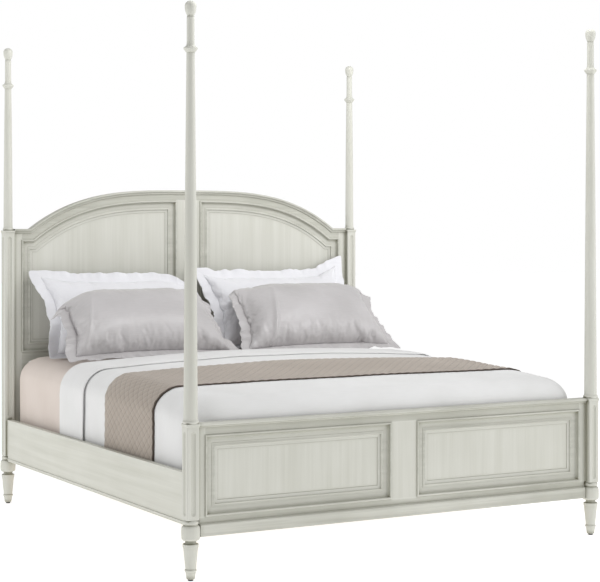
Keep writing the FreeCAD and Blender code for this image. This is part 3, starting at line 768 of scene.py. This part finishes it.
pillowLook = {
    "body": (0.870, 0.470),      # cut size inside the flange
    "squares": (100, 54),
    "pressure": 4.0,
    "frames": 20,
    "stiff": 15.0,
    "bend": 0.3,
    "cap": 0.20,                 # the furthest that a point may move while it fills
    "flangeRows": 6,
    "flangeThickness": 0.0022,
    "gatherHeight": 0.24,        # how far up the gathers reach, as a share of the height
    "ridge": 0.011,              # height and half width of the fold that runs up from the lower seam
    "ridgeHollow": 0.030,
    "bedSoft": (0.004, 0.012, 0.025),     # clear of the covers, eased over, and how slowly
    "boardGap": 0.013,
    "boardSoft": 0.020,
}
# seam is the middle of the lower seam, measured from the middle of the CAD pillow's lower front edge
pillows = [
    {"node": "back_pillow_left", "finish": shamCotton, "slot": "white_cotton", "seed": 3,
     "lean": 33, "seam": (0.037, 0.01177, 0.00728), "front": 0.075, "back": 0.065,
     "flange": 0.055, "wave": 0.020, "topFold": 0, "bottomFold": 10,
     "sag": 0.30, "dome": 0.012, "droop": (0.005, 0.120), "inset": (0.000, 0.020),
     "gather": 0.0015, "ridge": None},
    {"node": "back_pillow_right", "finish": shamCotton, "slot": "white_cotton", "seed": 8,
     "lean": 33, "seam": (-0.007, 0.01177, 0.00928), "front": 0.075, "back": 0.065,
     "flange": 0.055, "wave": 0.020, "topFold": 0, "bottomFold": 10,
     "sag": 0.30, "dome": 0.015, "droop": (0.020, -0.040), "inset": (0.000, 0.000),
     "gather": 0.0015, "ridge": None},
    {"node": "front_pillow_left", "finish": greySateen, "slot": "grey_satin", "seed": 12,
     "lean": 46, "seam": (0.021, 0.01392, 0.01308), "front": 0.120, "back": 0.065,
     "flange": 0.056, "wave": 0.022, "topFold": 75, "bottomFold": 22,
     "sag": 0.50, "dome": 0.030, "droop": (0.165, 0.100), "inset": (0.000, 0.050),
     "gather": 0.0040, "ridge": (-0.385, -0.285)},
    {"node": "front_pillow_right", "finish": greySateen, "slot": "grey_satin", "seed": 17,
     "lean": 46, "seam": (0.008, 0.01392, 0.01308), "front": 0.120, "back": 0.065,
     "flange": 0.056, "wave": 0.022, "topFold": 75, "bottomFold": 22,
     "sag": 0.50, "dome": 0.055, "droop": (0.050, 0.080), "inset": (0.070, -0.005),
     "gather": 0.0070, "ridge": (-0.310, -0.200)},
]


def stuffedPillow(s):
    # two flat cloths sewn together round the edge and blown up, lying flat about the origin
    look = pillowLook
    width, height = look["body"]
    bpy.ops.object.select_all(action="DESELECT")
    bpy.ops.mesh.primitive_grid_add(x_subdivisions=look["squares"][0], y_subdivisions=look["squares"][1],
                                    size=1)
    pillow = bpy.context.object
    pillow.name = s["node"] + "Body"
    pillow.scale = (width, height, 1)
    bpy.ops.object.transform_apply(location=False, rotation=False, scale=True)
    bpy.ops.object.mode_set(mode="EDIT")
    bpy.ops.mesh.select_all(action="SELECT")
    bpy.ops.mesh.extrude_region_move(TRANSFORM_OT_translate={"value": (0, 0, 0.006)})
    bpy.ops.mesh.select_all(action="SELECT")
    bpy.ops.mesh.normals_make_consistent(inside=False)
    bpy.ops.object.mode_set(mode="OBJECT")
    random.seed(s["seed"])
    cloth = pillow.data.attributes.new("cloth", "FLOAT_VECTOR", "POINT")
    seam = pillow.vertex_groups.new(name="seam")
    for vertex, spot in zip(pillow.data.vertices, cloth.data):
        u, v = abs(vertex.co.x) / (width / 2), abs(vertex.co.y) / (height / 2)
        spot.vector = (vertex.co.x, vertex.co.y, 0)
        if u > 0.999 or v > 0.999:
            seam.add([vertex.index], 1.0, "REPLACE")
        side = 1 if vertex.co.z > 0.003 else -1
        crown = 0.03 * max((1 - u ** 4) * (1 - v ** 4), 0.0) ** 0.5
        vertex.co.z = side * (0.003 + crown) + random.gauss(0, 0.0006)
    start = [vertex.co.copy() for vertex in pillow.data.vertices]
    modifier = pillow.modifiers.new("cloth", "CLOTH")
    settings = modifier.settings
    settings.quality = 6
    settings.mass = 0.3
    settings.tension_stiffness = look["stiff"]
    settings.compression_stiffness = look["stiff"]
    settings.shear_stiffness = look["stiff"] * 0.3
    settings.bending_stiffness = look["bend"]
    settings.air_damping = 2
    settings.use_pressure = True
    settings.uniform_pressure_force = look["pressure"]
    settings.effector_weights.gravity = 0
    modifier.collision_settings.use_collision = False
    modifier.point_cache.frame_end = look["frames"] + 5
    for step in range(1, look["frames"] + 1):
        bpy.context.scene.frame_set(step)
    makeActive(pillow)
    bpy.ops.object.modifier_apply(modifier="cloth")
    for vertex, before in zip(pillow.data.vertices, start):
        move = vertex.co - before
        if move.length > look["cap"]:
            vertex.co = before + move * (look["cap"] / move.length)
    thick = max(vertex.co.z for vertex in pillow.data.vertices)
    for vertex in pillow.data.vertices:
        vertex.co.z *= (s["front"] if vertex.co.z > 0 else s["back"]) / thick
    return pillow


def seamPlaces(pillow):
    # the middle of the narrow band between front and back, keyed by place on the flat cloth
    mesh = pillow.data
    group = pillow.vertex_groups["seam"].index
    inSeam = {v.index for v in mesh.vertices if any(g.group == group for g in v.groups)}
    cloth = mesh.attributes["cloth"].data
    pairs = {}
    for index in inSeam:
        place = cloth[index].vector
        key = (round(place.x, 5), round(place.y, 5))
        pairs.setdefault(key, []).append(mesh.vertices[index].co.copy())
    return {place: sum(points, Vector()) / len(points) for place, points in pairs.items()}


def addFlange(pillow, s):
    # a flat border sewn round the body, with soft waves and fuller corners
    places = seamPlaces(pillow)
    width, height = pillowLook["body"]
    order = sorted(places, key=lambda q: math.atan2(q[1] * width, q[0] * height))
    rows = pillowLook["flangeRows"]
    border = bmesh.new()
    cloth = border.verts.layers.float_vector.new("cloth")
    columns = []
    for place in order:
        base = places[place]
        # straight out from the side, and diagonally at a corner
        cornerX = max(0.0, (abs(place[0]) - width / 2 + 0.03) / 0.03)
        cornerY = max(0.0, (abs(place[1]) - height / 2 + 0.03) / 0.03)
        out = Vector((math.copysign(cornerX, place[0]), math.copysign(cornerY, place[1]), 0))
        reach = s["flange"] * min(out.length, 1.35)
        out.normalize()
        turn = math.radians(s["topFold"] * -max(out.y, 0) + s["bottomFold"] * max(-out.y, 0))
        outTurned = out * math.cos(turn) + Vector((0, 0, math.sin(turn)))
        column = []
        for row in range(rows + 1):
            share = row / rows
            ripple = noise.noise(Vector((base.x * 9 + s["seed"] * 3.1, base.y * 9, 1.7)))
            ripple += 0.7 * noise.noise(Vector((base.x * 26 + s["seed"], base.y * 26, 5.2)))
            p = base - out * 0.003 + outTurned * (0.003 + reach * share)
            p.z += s["wave"] * ripple * share ** 1.2
            vertex = border.verts.new(p)
            vertex[cloth] = (place[0] + out.x * reach * share, place[1] + out.y * reach * share, 0)
            column.append(vertex)
        columns.append(column)
    for column, following in zip(columns, columns[1:] + columns[:1]):
        for row in range(rows):
            border.faces.new((column[row], column[row + 1], following[row + 1], following[row]))
    borderMesh = bpy.data.meshes.new(pillow.name + "Flange")
    border.to_mesh(borderMesh)
    border.free()
    flange = bpy.data.objects.new(pillow.name + "Flange", borderMesh)
    bpy.context.scene.collection.objects.link(flange)
    makeActive(flange)
    bpy.ops.object.mode_set(mode="EDIT")
    bpy.ops.mesh.select_all(action="SELECT")
    bpy.ops.mesh.normals_make_consistent(inside=False)
    bpy.ops.object.mode_set(mode="OBJECT")
    useModifier(flange, "SOLIDIFY", thickness=pillowLook["flangeThickness"], offset=0.0)
    makeActive(pillow)
    flange.select_set(True)
    bpy.ops.object.join()


def shapePillow(pillow, s):
    # the filling has settled: fuller below, top corners drooping, cloth gathered at the lower seam
    look = pillowLook
    halfWidth, height = look["body"][0] / 2, look["body"][1]
    places = seamPlaces(pillow)
    lowerSeam = sorted((at.x, at.y) for place, at in places.items() if place[1] < -height / 2 + 1e-4)
    for vertex in pillow.data.vertices:
        p = vertex.co
        up = min(max(p.y / height + 0.5, 0.0), 1.1)
        bow = min(lowerSeam, key=lambda q: abs(q[0] - p.x))[1] + height / 2
        p.y -= bow * (1 - up) ** 2
        across = p.x / halfWidth
        right = 1 if across > 0 else 0
        end = min(max((abs(across) - 0.45) / 0.55, 0.0), 1.1) ** 1.6
        facing = min(max(p.z / 0.03, 0.0), 1.0)
        p.z *= 1 + s["sag"] * (0.5 - up)
        low = math.exp(-(max(up - 0.04, 0.0) / look["gatherHeight"]) ** 2)
        fan = p.x * (1 - 0.25 * up)
        gathers = noise.noise(Vector((fan * 30, up * 1.5, s["seed"])))
        gathers += 0.6 * noise.noise(Vector((fan * 64, up * 2.5, s["seed"] + 9.0)))
        p.z += facing * low * s["gather"] * gathers
        if s["ridge"]:
            foot, head = s["ridge"]
            away = p.x - (foot + (head - foot) * up / 0.6)
            fade = min(max((0.72 - up) / 0.3, 0.0), 1.0)
            p.z += facing * fade * look["ridge"] * math.exp(-(away / look["ridge"]) ** 2)
            p.z -= facing * look["ridgeHollow"] * min(max(-away / 0.15, 0.0), 1.0) * min(p.z / 0.06, 1.0)
        p.y += up ** 2 * (s["dome"] * max(1 - across ** 2, 0.0) - s["droop"][right] * end)
        p.x -= math.copysign(s["inset"][right] * up ** 2 * end, across)


def bedHeight(x, y):
    # the top of whatever covers the bed there
    p = Vector((x, y, mattressHigh.z))
    onCover = min(max((coverletHigh.y + 0.03 - y) / 0.03, 0.0), 1.0)
    lift = sheetLook["lift"] + (coverletLook["foldLift"] - sheetLook["lift"]) * onCover
    return mattressHigh.z + lift + bedSwell(p, Vector((0, 0, 1))).z


def standPillow(pillow, s):
    # from lying flat to leaning back on the bed
    look = pillowLook
    low = -look["body"][1] / 2
    near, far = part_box(s["node"])
    seam = Vector(((near.x + far.x) / 2, near.y, near.z)) + Vector(s["seam"])
    place = Matrix.Translation(seam) @ Matrix.Rotation(-math.radians(s["lean"]), 4, "X")
    gap, soft, slow = look["bedSoft"]
    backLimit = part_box("headboard_left_moulding")[0].y - look["boardGap"]
    backSoft = look["boardSoft"]
    for vertex in pillow.data.vertices:
        p = vertex.co
        p = place @ Vector((p.x, -p.z, p.y - low))
        # it rests on the covers and against the headboard
        ground = bedHeight(p.x, p.y) + gap
        if p.z < ground + soft:
            p.z = ground + soft * math.exp((p.z - ground - soft) / slow)
        if p.y > backLimit - backSoft:
            p.y = backLimit - backSoft * math.exp(-(p.y - backLimit + backSoft) / backSoft)
        vertex.co = p


for s in pillows:
    pillow = stuffedPillow(s)
    addFlange(pillow, s)
    shapePillow(pillow, s)
    standPillow(pillow, s)
    useModifier(pillow, "SUBSURF", levels=1, render_levels=1)
    finishPiece(pillow, s["node"] + "_body", s["finish"])
    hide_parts(s["node"])
    print(s["node"], "made")
